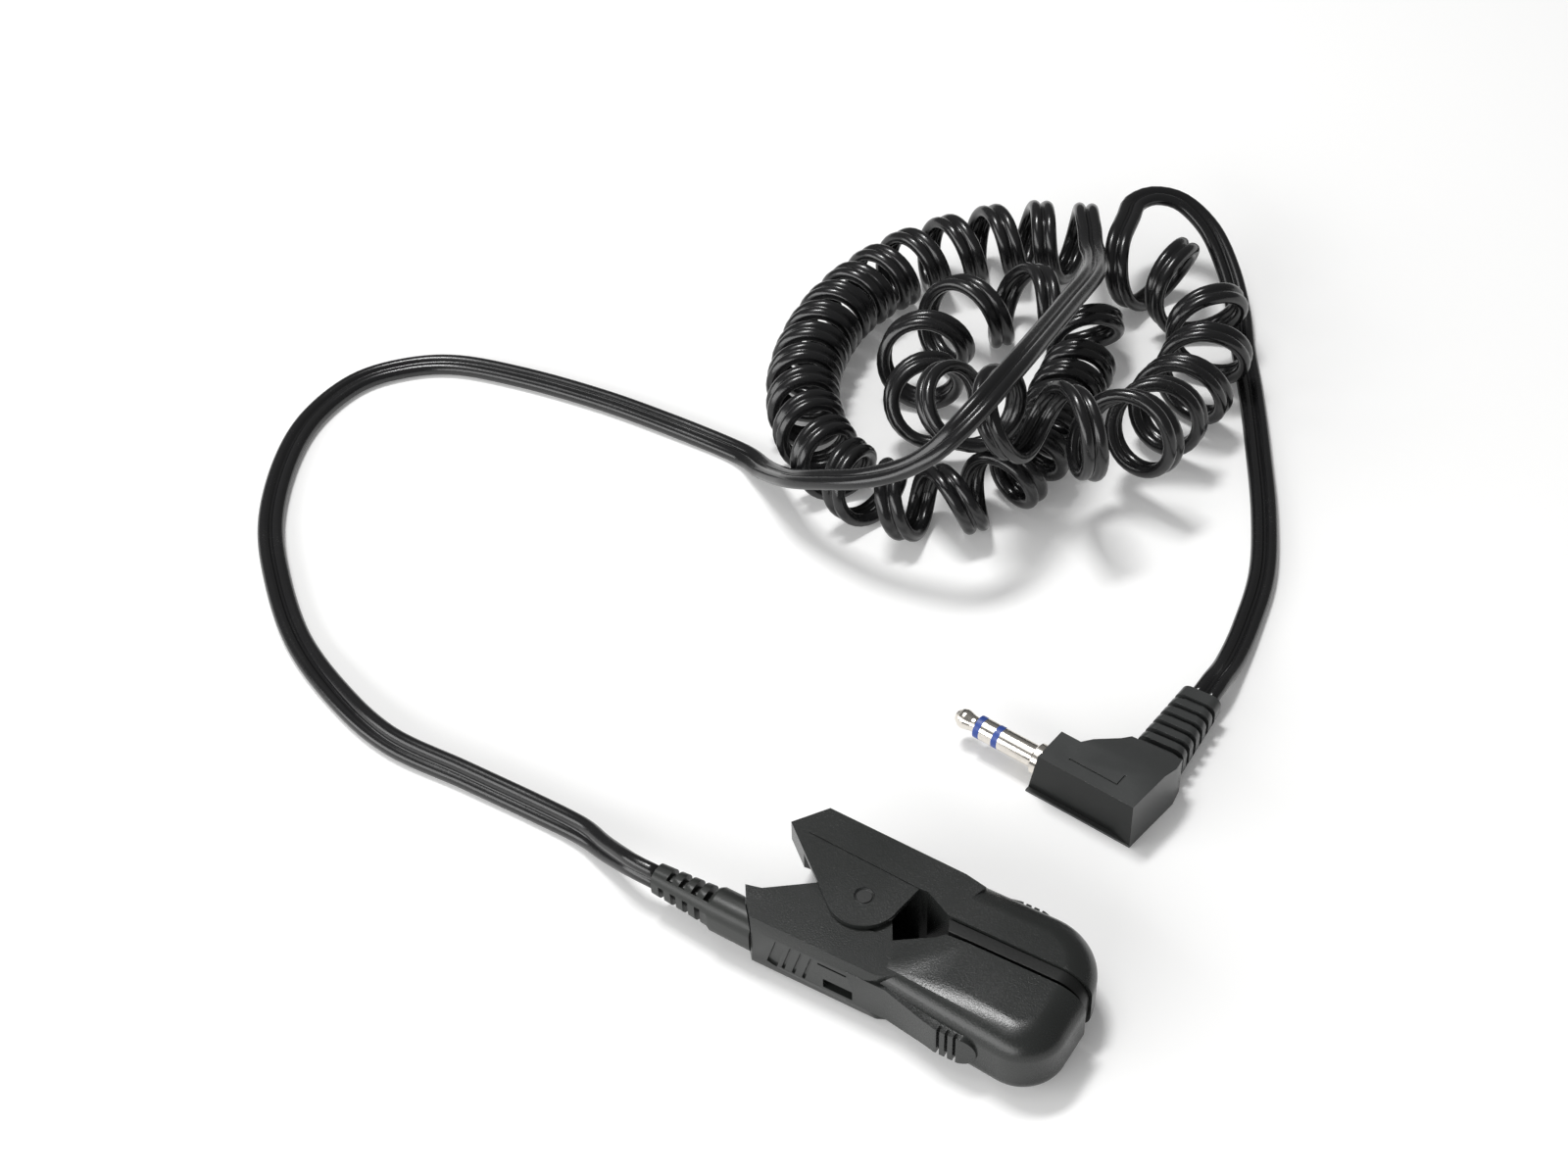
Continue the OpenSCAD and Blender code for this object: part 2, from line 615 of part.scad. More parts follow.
// ---- Plug ----
// In the plug's own frame X runs along the contacts to the tip and the cord leaves towards -Y.
plug_at = [-3.11, 39.39, 0];
plug_turn = 172.9;
plug_z = plug_h / 2;
plug_front = -0.3;
plug_lean = 1.8;
plug_half = plug_w / 2;
plug_rear = plug_front - plug_lean - plug_l;
relief_c = [plug_rear + 4.4, -9.9, 3.2];
// Recess in the body's long side: depth at its foot, height of the rim below it, run-out at the rear
recess = [0.7, 0.4, 4.1];
relief_turn = 5;
relief_start = [7.5, 6];
relief_end = [6.4, 4];
function turned(p, a) = [p.x * cos(a) - p.y * sin(a), p.x * sin(a) + p.y * cos(a), p.z];
plug_exit = plug_at + turned(relief_c + turned([relief_l, 0, 0], relief_turn - 90), plug_turn);
plug_exit_dir = turned([1, 0, 0], plug_turn + relief_turn - 90);

module plug_place() {
    translate(plug_at) rotate([0, 0, plug_turn]) children();
}
module barrel() {
    plug_place() translate([0, 0, plug_z]) rotate([0, 90, 0]) rotate_extrude() children();
}
module relief_place() {
    plug_place() translate(relief_c) rotate([0, 0, relief_turn - 90]) children();
}
// Contacts: distances from the shoulder; the insulating rings stand between them.
jack_r = jack_d / 2;
tip_at = jack_l - 3.9;
ring_at = jack_l - 7.1;
band = 1;
rod_r = 0.5;
tube_r = [0.85, 1.15, 1.4];
tail_x = [-10, -11.2, -12.4, -13.5, -14.6];

module plug_tip() {
    color([0.8, 0.78, 0.74]) barrel() polygon([[0, jack_l], [0.6, jack_l], [0.9, jack_l - 0.2],
        [jack_r - 0.35, jack_l - 0.9], [jack_r - 0.22, jack_l - 1.4], [jack_r - 0.25, jack_l - 1.8],
        [jack_r - 0.55, jack_l - 2.9], [jack_r - 0.58, jack_l - 3.4], [jack_r - 0.45, tip_at],
        [rod_r, tip_at], [rod_r, jack_l - 2.5], [0, jack_l - 2.5]]);
}
module tip_rod() {
    color([0.75, 0.65, 0.4]) barrel() translate([0, tail_x[4]])
        square([rod_r, jack_l - 2.5 - tail_x[4]]);
}
module tip_insulator() {
    color([0.1, 0.16, 0.6]) barrel() {
        translate([rod_r, tail_x[3]]) square([tube_r[0] - rod_r, tip_at - tail_x[3]]);
        translate([rod_r, tip_at - band]) square([jack_r - rod_r, band]);
    }
}
module plug_ring() {
    color([0.8, 0.78, 0.74]) barrel() {
        translate([tube_r[0], tail_x[2]])
            square([tube_r[1] - tube_r[0], tip_at - band - tail_x[2]]);
        translate([tube_r[0], ring_at]) square([jack_r - tube_r[0], tip_at - band - ring_at]);
    }
}
module ring_insulator() {
    color([0.1, 0.16, 0.6]) barrel() {
        translate([tube_r[1], tail_x[1]]) square([tube_r[2] - tube_r[1], ring_at - tail_x[1]]);
        translate([tube_r[1], ring_at - band]) square([jack_r - tube_r[1], band]);
    }
}
collar_r = 2.4;
collar_x = -3.6;
module plug_sleeve() {
    color([0.8, 0.78, 0.74]) barrel() {
        translate([tube_r[2], tail_x[0]])
            square([jack_r - tube_r[2], ring_at - band - tail_x[0]]);
        polygon([[tube_r[2], collar_x], [collar_r, collar_x], [collar_r, -0.25], [collar_r - 0.25, 0],
            [tube_r[2], 0]]);
    }
}
// Solder tags behind each tube: inner and outer radius, place, length of the tongue.
tag_t = 0.4;
tags = [[tube_r[2], tube_r[2] + 0.45, tail_x[0] - tag_t, 3.2],
    [tube_r[0], tube_r[0] + 0.65, tail_x[2] - tag_t, 4.6], [rod_r, rod_r + 0.6, tail_x[4] + 0.2, 4.6]];
module plug_tags() {
    color([0.75, 0.65, 0.4]) plug_place() for (t = tags)
        translate([t[2], 0, plug_z]) rotate([0, 90, 0]) difference() {
            union() {
                cylinder(r = t[1], h = tag_t);
                translate([-0.6, -t[3], 0]) cube([1.2, t[3], tag_t]);
            }
            translate([0, 0, -1]) cylinder(r = t[0], h = 3);
        }
}
module plug_body() {
    e = [cos(relief_turn), sin(relief_turn)];
    c = [relief_c.x, relief_c.y];
    color([0.14, 0.14, 0.14]) plug_place() difference() {
        intersection() {
            between_z(0, plug_h) polygon([[plug_front, plug_half], [plug_front, -plug_half],
                [plug_front - 5.1, -plug_half], [plug_rear + 9, -7.9], c + e * 3.8, c - e * 4.3,
                [plug_rear - 0.5, -7.6], [plug_rear, plug_half]]);
            // The face round the contacts leans back
            along_y(-20, 20) polygon([[plug_rear - 2, 0], [plug_front, 0],
                [plug_front - plug_lean, plug_h], [plug_rear - 2, plug_h]]);
            // The neck slopes down to the strain relief
            along_x(plug_rear - 2, 0) polygon([[-11, 0], [-11, 6.6], [-plug_half - 1.5, plug_h],
                [plug_half, plug_h], [plug_half, 0]]);
        }
        // Sloping recess in the long side, which runs out on a facet at the rear
        intersection() {
            between_z(recess[1], plug_h + 1) polygon([[plug_rear, plug_half],
                [plug_rear + recess[2], plug_half - recess[0]], [1, plug_half - recess[0]],
                [1, plug_half + 1], [plug_rear, plug_half + 1]]);
            along_x(plug_rear - 1, 1) polygon([[plug_half, plug_h], [plug_half - recess[0], recess[1]],
                [plug_half + 2, recess[1]], [plug_half + 2, plug_h]]);
        }
        // Shallow line on the top face
        between_z(plug_h - 0.2, plug_h + 1) {
            polygon([[plug_rear + 4, 0.6], [plug_front - 5.6, 0.6], [plug_front - 5.6, 0.9],
                [plug_rear + 4, 0.9]]);
            polygon([[plug_rear + 4, 0.9], [plug_rear + 4, -1.4], [plug_rear + 4.3, -1.4],
                [plug_rear + 4.3, 0.9]]);
        }
        translate([-5.2, 0, plug_z]) rotate([0, 90, 0]) cylinder(r = jack_r, h = 8);
        translate([collar_x, 0, plug_z]) rotate([0, 90, 0]) cylinder(r = collar_r, h = 8);
        // Chamber for the tags and the cores
        between_z(plug_z - 1.9, plug_z + 1.9) polygon([[-5, 1.9], [-5, -1.9], [-7.2, -2.4],
            [-12, -8.2], [plug_rear + 2.2, -8.2], [plug_rear + 2.2, 1.9]]);
        translate(relief_c) rotate([0, 0, relief_turn - 90]) core_way(-3, 1);
    }
}
module core_way(x0, x1) {
    translate([x0, 0, 0]) rotate([90, 0, 90]) linear_extrude(x1 - x0)
        rounded_rect(-1.7, 1.7, -0.65, 0.65, 0.6);
}
module relief_slab(x, size) {
    r = min(1.5, size.y / 2 - 0.2);
    translate([x, 0, 0]) rotate([90, 0, 90]) linear_extrude(0.1)
        for (a = [-1, 1], b = [-1, 1])
            translate([a * (size.x / 2 - r), b * (size.y / 2 - r)]) circle(r, $fn = 32);
}
module plug_relief() {
    pitch = (relief_l - 1.8) / relief_ribs;
    color([0.14, 0.14, 0.14]) relief_place() difference() {
        hull() {
            relief_slab(0, relief_start);
            relief_slab(relief_l - 0.1, relief_end);
        }
        // Slots round the top and the sides, between the ribs
        difference() {
            for (i = [0:relief_ribs - 1])
                translate([0.9 + i * pitch, -6, -1.2]) cube([pitch * 0.42, 12, 8]);
            hull() {
                relief_slab(-1, relief_start - [2, 2]);
                relief_slab(relief_l + 1, relief_end - [1.6, 1.3]);
            }
        }
        core_way(-1, relief_l + 1);
    }
}
// Cores from the tags to the end of the strain relief; the thin one is bare.
module plug_conductors() {
    color([0.7, 0.45, 0.25]) plug_place() for (i = [0:2]) {
        t = tags[i];
        off = 1.1 * (1 - i);
        d = i == 0 ? 0.6 : 0.9;
        a = relief_c + turned([-2.2, off, 0], relief_turn - 90);
        b = relief_c + turned([1, off, 0], relief_turn - 90);
        c = relief_c + turned([relief_l - 0.2, off, 0], relief_turn - 90);
        x = t[2] + tag_t / 2;
        sweep_rings(flat_rings([[x, -t[3], plug_z], [x, -t[3] - 0.5, plug_z],
            (a + [x, -t[3] - 1, plug_z]) / 2, a, b, c], 2, d, d, 6), 6);
    }
}

// ---- Cord ----
cord_z = cord_t / 2;
coil_top = 14.2;
// Where the curly stretch ends, one cord width beyond its first and last curl
coil_in = [-43.8, 152.2, coil_top];
coil_out = [-47.9, 145.3, coil_top];
coil_in_dir = unit([-43, 148, coil_top] - coil_in);
coil_out_dir = unit(coil_out - [-50, 149, coil_top]);
clip_route = [boot_tip, boot_tip - cord_w * boot_dir, [-47.5, -5.6, 3.6], [-53, -3.8, 2.4],
    [-61, -3.3, 2], [-74, -3.3, 2], [-88, -3.3, 1.9], [-101, 0.6, 1.4],
    [-114, 7, cord_z], [-126, 16.5, cord_z], [-135, 26, cord_z], [-142, 38, cord_z],
    [-145.5, 49, cord_z], [-145, 60, cord_z], [-140.5, 67.5, cord_z], [-133, 73, cord_z],
    [-121, 76, cord_z], [-106, 77.8, cord_z], [-92, 78.2, cord_z], [-78, 77.8, cord_z],
    [-71.5, 74.8, 2.8], [-66, 71.2, 6.4], [-61, 68.2, 10.2], [-55, 66.8, 13.8], [-48, 66.4, 17.4],
    [-41.6, 67.8, 21], [-37.2, 69.9, 24.9], [-34.5, 73.5, 28.5], [-33.2, 79.8, 30.4], [-33.4, 90, 29.8],
    [-34.9, 101, 27], [-37.3, 116, 22.6], [-39.6, 129, 18.6], [-42.8, 136.8, 15.6],
    coil_out + cord_w * coil_out_dir, coil_out];
plug_route = [plug_exit, plug_exit + cord_w * plug_exit_dir, [12.2, 73, 1.8], [11, 82, cord_z],
    [8.4, 94, cord_z], [3, 107, cord_z], [-4.2, 121, cord_z], [-11, 133.5, cord_z],
    [-17, 143.8, cord_z], [-21.4, 151.4, 2.4], [-26.3, 157.2, 5.8], [-32, 161.4, 9.6], [-38, 162.4, 12.8],
    [-42.4, 160.2, 14.2], coil_in - cord_w * coil_in_dir, coil_in];

// The clip's lead leaves the strain relief on edge and twists to lie flat on the ground:
// its tilt at the first points of its route, and 0 from there on.
clip_tilt = [90, 90, 80, 65, 60, 60, 50, 25];
module clip_lead() {
    n = len(clip_route);
    color([0.06, 0.06, 0.065]) sweep_rings([for (i = [0:n - 1])
        let(d = unit(smooth_slope(clip_route, min(i, n - 2), i == n - 1 ? 1 : 0)),
            s = level_side(d), up = cross(s, d), a = i < len(clip_tilt) ? clip_tilt[i] : 0)
                oval(clip_route[i], s * cos(a) + up * sin(a), up * cos(a) - s * sin(a),
                    cord_w, cord_t, 8)], 8);
}
module plug_lead() {
    color([0.06, 0.06, 0.065]) sweep_rings(flat_rings(plug_route, 1, cord_w, cord_t, 8), 8);
}

// Curly stretch: its middle line as [x, y, z, curl radius], then the curls up to the next point.
coil_line = [[-43, 148, 7.8, 6.4], [-32, 147, 7.8, 6.4], [-22, 139, 7.8, 6.4], [-18, 127, 7.8, 6.4],
    [-18, 114, 9, 6.4], [-17, 101, 14, 6.4], [-22, 90, 20, 6.2], [-32, 86, 22.5, 6.2],
    [-43, 90, 17, 6.2], [-53, 97, 8.5, 6.2], [-60, 107, 7.6, 6.2], [-60, 119, 7.6, 6.2],
    [-53, 129, 7.4, 6], [-42, 131, 7, 5.6], [-37, 121, 6.4, 5], [-35, 110, 6.4, 5],
    [-33, 99, 6.4, 5], [-34, 88, 6.4, 5], [-40, 79, 6.4, 5], [-48, 75, 6.5, 5.2],
    [-58, 77, 6.5, 5.2], [-67, 83, 6.5, 5.2], [-74, 92, 6.5, 5.2], [-78, 103, 6.5, 5.2],
    [-79, 115, 6.5, 5.2], [-76, 127, 6.8, 5.4], [-70, 137, 7, 5.6], [-61, 145, 7.4, 6],
    [-50, 149, 7.8, 6.4]];
coil_curls = [1, 1, 1.25, 1.25, 1.25, 1, 1, 1, 1, 1, 1, 1, 0.75, 1, 2, 2, 1.5, 1, 1, 1.25, 1.5,
    1.75, 2, 2, 2, 1.5, 1.5, 1.5];
coil_steps = 8;
function turns_before(i) = i == 0 ? 0 : turns_before(i - 1) + coil_curls[i - 1];
// Each entry is [centre, direction of the middle line, outward radial].
coil_rings = [for (i = [0:len(coil_curls) - 1]) let(m = coil_curls[i] * coil_steps, before = turns_before(i))
    for (j = [0:(i == len(coil_curls) - 1 ? m : m - 1)]) let(
        b = smooth(coil_line, i, j / m), g = smooth_slope(coil_line, i, j / m),
        t = unit([g.x, g.y, g.z]), side = level_side(t), up = cross(side, t),
        a = 360 * (before + j / coil_steps), radial = up * cos(a) + side * sin(a),
        r = max(min(b[3], 6.4), 5))
            [[b.x, b.y, b.z] + r * radial, t, radial]];
function reach(ring, u) = sqrt(pow(cord_w / 2 * (u * ring[1]), 2) + pow(cord_t / 2 * (u * ring[2]), 2));
function ring_gap(a, b) = let(d = b[0] - a[0], u = unit(d)) norm(d) - reach(a, u) - reach(b, u);
echo(curls = turns_before(len(coil_curls)), least_gap = min([for (i = [0:len(coil_rings) - 1])
    for (j = [i + 6:1:len(coil_rings) - 1]) if (norm(coil_rings[j][0] - coil_rings[i][0]) < 8)
        ring_gap(coil_rings[i], coil_rings[j])]));

module curly_cord() {
    color([0.06, 0.06, 0.065]) sweep_rings(concat(
        [oval(coil_in, level_side(coil_in_dir), [0, 0, 1], cord_w, cord_t, 6)],
        [for (q = coil_rings) oval(q[0], -q[1], q[2], cord_w, cord_t, 6)],
        [oval(coil_out, level_side(coil_out_dir), [0, 0, 1], cord_w, cord_t, 6)]), 6);
}

lower_shell();
lower_cover();
lower_lens();
phototransistor();
lower_board();
upper_shell();
upper_cover();
upper_lens();
infrared_led();
upper_board();
hinge_pin();
torsion_spring();
link_wires();
clip_boot();
clip_conductors();
clip_lead();
curly_cord();
plug_lead();
plug_relief();
plug_body();
plug_sleeve();
ring_insulator();
plug_ring();
tip_insulator();
plug_tip();
plug_tags();
tip_rod();
plug_conductors();
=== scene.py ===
import json
import math

import bmesh
import bpy
import numpy as np
from mathutils import Euler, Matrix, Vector


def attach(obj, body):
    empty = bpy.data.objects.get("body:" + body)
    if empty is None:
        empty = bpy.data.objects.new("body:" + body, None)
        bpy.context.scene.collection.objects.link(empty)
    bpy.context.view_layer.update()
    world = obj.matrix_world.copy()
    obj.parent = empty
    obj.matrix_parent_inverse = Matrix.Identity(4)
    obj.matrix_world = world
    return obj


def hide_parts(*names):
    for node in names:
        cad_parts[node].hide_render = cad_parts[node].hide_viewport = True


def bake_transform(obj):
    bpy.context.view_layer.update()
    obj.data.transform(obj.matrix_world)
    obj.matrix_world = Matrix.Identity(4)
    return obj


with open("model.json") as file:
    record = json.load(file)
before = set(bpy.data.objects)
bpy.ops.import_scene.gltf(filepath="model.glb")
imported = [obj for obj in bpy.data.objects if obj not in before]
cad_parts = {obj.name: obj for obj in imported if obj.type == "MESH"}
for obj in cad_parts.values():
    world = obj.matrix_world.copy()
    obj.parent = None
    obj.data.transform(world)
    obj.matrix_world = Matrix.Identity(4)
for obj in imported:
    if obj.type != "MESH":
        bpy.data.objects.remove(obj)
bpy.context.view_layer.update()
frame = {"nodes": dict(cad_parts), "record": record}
mm = 0.001
print("frame loaded")


# Camera
camera = {
    "placeMm": (99.7, -185.6, 276.4),
    "turnDeg": (45.98, 1.44, 31.41),
    "lensMm": 58.2,
    "sensorMm": 36,
    "seesM": (0.01, 20),
}
cameraData = bpy.data.cameras.new("camera")
cameraData.lens = camera["lensMm"]
cameraData.sensor_width = camera["sensorMm"]
cameraData.clip_start, cameraData.clip_end = camera["seesM"]
cameraObject = bpy.data.objects.new("camera", cameraData)
cameraObject.location = [v * mm for v in camera["placeMm"]]
cameraObject.rotation_euler = Euler([math.radians(v) for v in camera["turnDeg"]])
bpy.context.scene.collection.objects.link(cameraObject)
bpy.context.scene.camera = cameraObject


# Shader maths
class Value:
    # One socket; the operators add Math nodes
    def __init__(self, tree, socket):
        self.tree, self.socket = tree, socket

    def math(self, operation, *others):
        node = self.tree.nodes.new("ShaderNodeMath")
        node.operation = operation
        for slot, item in zip(node.inputs, (self,) + others):
            if isinstance(item, Value):
                self.tree.links.new(item.socket, slot)
            else:
                slot.default_value = item
        return Value(self.tree, node.outputs[0])

    def __add__(self, other):
        return self.math("ADD", other)

    def __mul__(self, other):
        return self.math("MULTIPLY", other)

    def __sub__(self, other):
        return self.math("SUBTRACT", other)

    def __rsub__(self, other):
        return (self * -1) + other

    def above(self, edge, softness):
        # 0 below the edge and 1 past the softness beyond it
        return ((self - edge) * (1 / softness)).math("MAXIMUM", 0.0).math("MINIMUM", 1.0)

    __radd__ = __add__
    __rmul__ = __mul__


class Finish:
    # A material with one surface shader and a method that adds any other node
    def __init__(self, name, constants):
        self.material = bpy.data.materials.new(name)
        self.material.use_nodes = True
        self.tree = self.material.node_tree
        self.shader = self.tree.nodes["Principled BSDF"]
        for socket, value in constants.items():
            self.shader.inputs[socket].default_value = value

    def node(self, kind, settings=None, inputs=None, output=0):
        made = self.tree.nodes.new(kind)
        for key, value in (settings or {}).items():
            setattr(made, key, value)
        for key, value in (inputs or {}).items():
            if isinstance(value, Value):
                self.tree.links.new(value.socket, made.inputs[key])
            else:
                made.inputs[key].default_value = value
        return Value(self.tree, made.outputs[output])

    def place(self):
        return self.node("ShaderNodeTexCoord", output="Object")

    def noise(self, scale, detail=3.0, roughness=0.5):
        inputs = {"Vector": self.place(), "Scale": scale, "Detail": detail, "Roughness": roughness}
        return self.node("ShaderNodeTexNoise", {}, inputs, "Fac")

    def mix(self, amount, first, second):
        return self.node("ShaderNodeMix", {"data_type": "RGBA"}, {0: amount, 6: first, 7: second}, 2)

    def bump(self, height, strength, depth):
        return self.node("ShaderNodeBump", {}, {"Height": height, "Strength": strength, "Distance": depth})

    def feed(self, socket, value):
        self.tree.links.new(value.socket, self.shader.inputs[socket])


def grey(level):
    return (level, level, level, 1.0)


# Materials; noise scales are in cycles per metre and bump depths in metres
def shellPlastic():
    # Dark moulded plastic: a fine even grain with a coarser speckle, slightly polished in broad patches
    look = {
        "base": (0.018, 0.0195, 0.0185, 1), "worn": (0.031, 0.0325, 0.0315, 1), "wear": 0.4,
        "rough": 0.25, "shine": 0.45,
        "patches": 70.0, "specks": 4500.0, "grain": 7000.0, "bump": 0.45, "depth": 0.00005,
    }
    f = Finish("shellPlastic", {"IOR": 1.5, "Specular IOR Level": look["shine"]})
    broad = f.noise(look["patches"], 4.0)
    speck = f.noise(look["specks"], 2.0)
    grain = f.noise(look["grain"], 2.0)
    worn = (broad * 0.6 + speck * 0.4).above(0.42, 0.4) * look["wear"]
    f.feed("Base Color", f.mix(worn, look["base"], look["worn"]))
    f.feed("Roughness", broad * 0.14 + speck * 0.08 + (look["rough"] - 0.1))
    f.feed("Normal", f.bump(grain * 0.4 + speck, look["bump"], look["depth"]))
    return f.material


def ribPlastic(name, base, rough, grainStrength, shine=0.5):
    # Moulded vinyl of the strain reliefs and the plug's body, and plastic of the jaw plates and the pin
    look = {"lighter": 1.5, "wear": 0.5, "patches": 110.0, "specks": 3200.0, "depth": 0.00005}
    f = Finish(name, {"IOR": 1.5, "Specular IOR Level": shine})
    broad = f.noise(look["patches"], 4.0)
    speck = f.noise(look["specks"], 2.0)
    light = tuple(v * look["lighter"] for v in base[:3]) + (1,)
    worn = (broad * 0.7 + speck * 0.3).above(0.4, 0.4) * look["wear"]
    f.feed("Base Color", f.mix(worn, base, light))
    f.feed("Roughness", broad * 0.16 + (rough - 0.06))
    f.feed("Normal", f.bump(speck, grainStrength, look["depth"]))
    return f.material


def cordVinyl():
    # Glossy black vinyl with dusty scuffs and a faint grain
    look = {
        "base": (0.0085, 0.0085, 0.009, 1), "dust": (0.05, 0.049, 0.046, 1), "dusty": 0.35, "rough": 0.2,
        "patches": 160.0, "specks": 2400.0, "grain": 900.0, "bump": 0.18, "depth": 0.00008,
    }
    f = Finish("cordVinyl", {"IOR": 1.52})
    broad = f.noise(look["patches"], 4.0)
    specks = f.noise(look["specks"], 3.0, 0.6)
    dusty = (specks * 0.75 + broad * 0.35).above(0.66, 0.18)
    f.feed("Base Color", f.mix(dusty * look["dusty"], look["base"], look["dust"]))
    f.feed("Roughness", broad * 0.16 + dusty * 0.25 + (look["rough"] - 0.06))
    f.feed("Normal", f.bump(f.noise(look["grain"], 3.0), look["bump"], look["depth"]))
    return f.material


def nickel():
    # Plating with duller patches
    look = {
        "base": (0.78, 0.74, 0.68, 1), "dull": (0.5, 0.46, 0.4, 1), "wear": 0.4, "rough": 0.1,
        "patches": 500.0, "grain": 5000.0, "bump": 0.1, "depth": 0.00002,
    }
    f = Finish("nickelPlate", {"Metallic": 1.0})
    broad = f.noise(look["patches"], 4.0)
    f.feed("Base Color", f.mix(broad.above(0.5, 0.3) * look["wear"], look["base"], look["dull"]))
    f.feed("Roughness", broad * 0.2 + look["rough"])
    f.feed("Normal", f.bump(f.noise(look["grain"], 2.0), look["bump"], look["depth"]))
    return f.material


def plain(name, base, rough, metallic=0.0, transmission=0.0, variation=0.25):
    # A small part in one colour that varies a little
    look = {"patches": 400.0, "grain": 3000.0, "bump": 0.12, "depth": 0.00003}
    f = Finish(name, {"Metallic": metallic, "Transmission Weight": transmission})
    broad = f.noise(look["patches"], 3.0)
    dark = tuple(v * (1 - variation) for v in base) + (1,)
    f.feed("Base Color", f.mix(broad, dark, base + (1,)))
    f.feed("Roughness", broad * 0.15 + rough)
    f.feed("Normal", f.bump(f.noise(look["grain"], 2.0), look["bump"], look["depth"]))
    return f.material


paints = {
    "shell": shellPlastic(),
    "jawPlate": ribPlastic("jawPlatePlastic", (0.008, 0.0085, 0.008, 1), 0.38, 0.3, 0.3),
    "relief": ribPlastic("reliefVinyl", (0.018, 0.0195, 0.018, 1), 0.36, 0.25, 0.4),
    "plug": ribPlastic("plugVinyl", (0.035, 0.037, 0.0365, 1), 0.31, 0.2, 0.65),
    # painted shade: a darker, less reflective copy of the plug's vinyl for the plug's shaded long side
    "recess": ribPlastic("recessVinyl", (0.014, 0.015, 0.0145, 1), 0.3, 0.12, 0.12),
    "cord": cordVinyl(),
    "nickel": nickel(),
    "blue": plain("blueInsulator", (0.03, 0.075, 0.34), 0.35),
    "window": plain("darkRedWindow", (0.09, 0.006, 0.008), 0.08, variation=0.4),
    "receiver": plain("darkEpoxy", (0.012, 0.011, 0.02), 0.12),
    "emitter": plain("clearEpoxy", (0.62, 0.68, 0.75), 0.06, transmission=0.7),
    "board": plain("greenBoard", (0.02, 0.12, 0.045), 0.35),
    "pin": ribPlastic("pinPlastic", (0.016, 0.017, 0.0165, 1), 0.36, 0.2, 0.4),
    "steel": plain("springWire", (0.55, 0.55, 0.57), 0.22, metallic=1.0),
    "wire": plain("redWire", (0.32, 0.03, 0.03), 0.4),
    "copper": plain("coreInsulation", (0.5, 0.3, 0.16), 0.4),
    "brass": plain("tinnedBrass", (0.72, 0.62, 0.42), 0.25, metallic=1.0),
}
print("materials made")


def unit(v):
    return v / np.linalg.norm(v, axis=-1, keepdims=True)


# Cord: all places in mm
cord = {
    "widthMm": 4.3,
    "thickMm": 2.15,
    "neckMm": 0.3,        # half height of the web between the two round halves
    "lobePoints": 15,
    "stepMm": 1.4,
    "stepsPerCurl": 32,
    "coilIn": (-43.8, 152.2, 14.2),
    "coilOut": (-47.9, 145.3, 14.2),
    "curlRadiiMm": (5, 6.4),
    "straightMm": 4.3,     # length that leaves the clip's strain relief straight
    "lineMm": 1.1,         # height of the cord's middle where it lies on the floor
}
bootRoot = (-21.8, -8.1, 5.5)
bootTip = (-37.3, -7.6, 5.5)
outward = unit(np.array(bootTip) - np.array(bootRoot))
straightEnd = tuple(np.array(bootTip) + cord["straightMm"] * outward)
floorLine = cord["lineMm"]
clipRoute = [bootTip, straightEnd, (-47.5, -5.6, 3.6), (-53, -3.8, 2.4),
    (-61, -3.3, 2), (-74, -3.3, 2), (-88, -3.3, 1.9), (-101, 0.6, 1.4),
    (-114, 7, floorLine), (-126, 16.5, floorLine), (-135, 26, floorLine), (-142, 38, floorLine),
    (-145.5, 49, floorLine), (-145, 60, floorLine), (-140.5, 67.5, floorLine), (-133, 73, floorLine),
    (-121, 76, floorLine), (-106, 77.8, floorLine), (-92, 78.2, floorLine), (-78, 77.8, floorLine),
    (-71.5, 74.8, 2.8), (-66, 71.2, 6.4), (-61, 68.2, 10.2), (-55, 66.8, 13.8), (-48, 66.4, 17.4),
    (-41.6, 67.8, 21), (-37.2, 69.9, 24.9), (-34.5, 73.5, 28.5), (-33.2, 79.8, 30.4), (-33.4, 90, 29.8),
    (-34.9, 101, 27), (-37.3, 116, 22.6), (-39.6, 129, 18.6), (-42.8, 136.8, 15.6),
    (-45.8, 141.55, 14.2), cord["coilOut"]]
# Tilt of the cord's flat side in degrees at the clip route's first points; it lies flat from there on
clipTilt = [90, 90, 80, 65, 60, 60, 50, 25]
plugRoute = [(12.3, 62.62, 3.2), (12.45, 66.92, 3.2), (12.2, 73, 1.8), (11, 82, floorLine),
    (8.4, 94, floorLine), (3, 107, floorLine), (-4.2, 121, floorLine), (-11, 133.5, floorLine),
    (-17, 143.8, floorLine), (-21.4, 151.4, 2.4), (-26.3, 157.2, 5.8), (-32, 161.4, 9.6),
    (-38, 162.4, 12.8), (-42.4, 160.2, 14.2), (-44.6, 156.42, 14.2), cord["coilIn"]]
